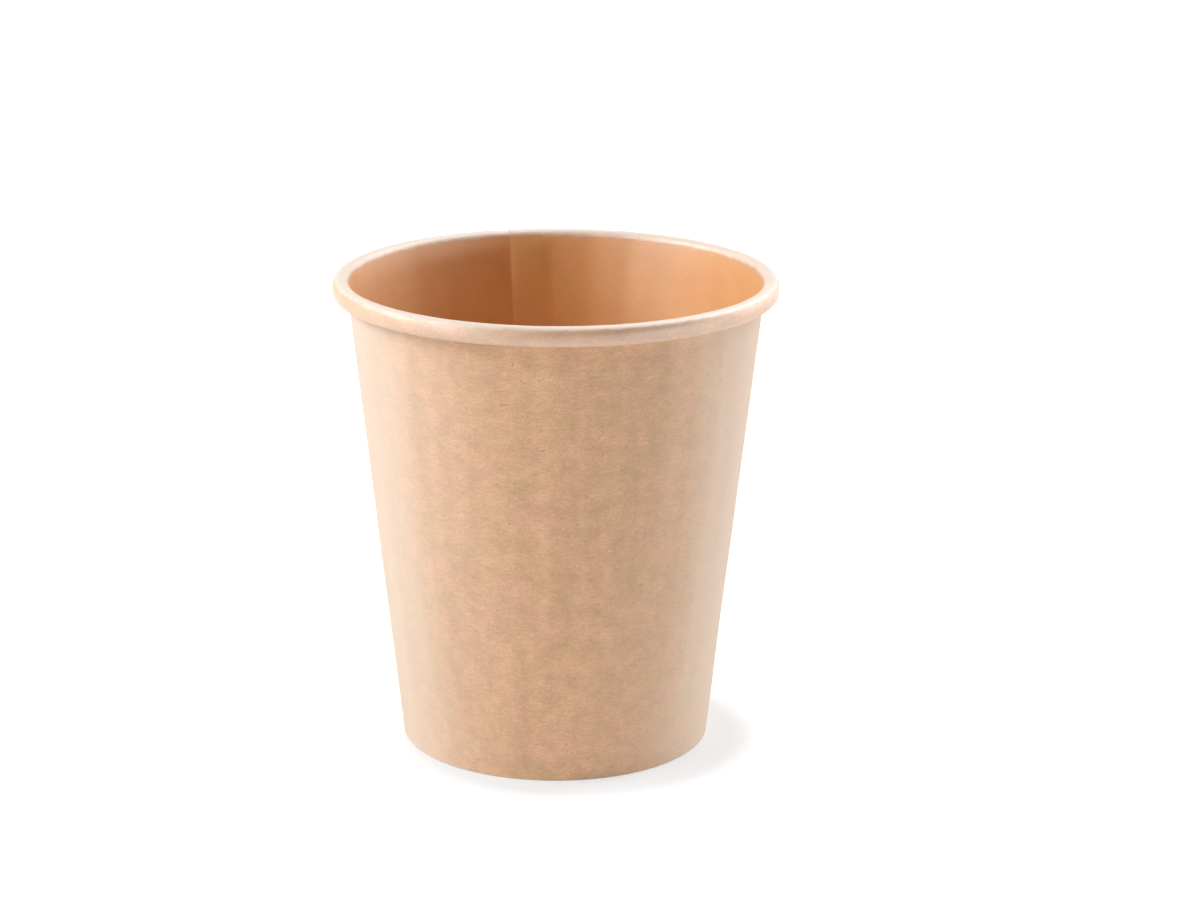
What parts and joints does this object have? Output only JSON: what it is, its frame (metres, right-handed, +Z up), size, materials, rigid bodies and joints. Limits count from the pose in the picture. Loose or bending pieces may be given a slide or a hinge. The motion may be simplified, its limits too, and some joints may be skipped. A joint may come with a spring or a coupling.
{
  "type": "paper coffee cup",
  "caption": "Tapered single-wall kraft board cup for hot drinks, with a rolled rim, a lapped and glued side seam, and a recessed bottom caught in a turned-up hem.",
  "frame": {"origin": "centre of the foot, on the table", "axes": "+Z up along the cup's axis, +Y towards the side seam at the back, -Y towards the camera"},
  "size_m": [0.08, 0.08, 0.086],
  "materials": {
    "kraft_board": "matt, unbleached, with a slight sheen",
    "kraft_bottom": "matt, unbleached, with a slight sheen"
  },
  "bodies": {
    "root": {"side_wall": "kraft_board", "bottom_disc": "kraft_bottom"}
  },
  "joints": []
}
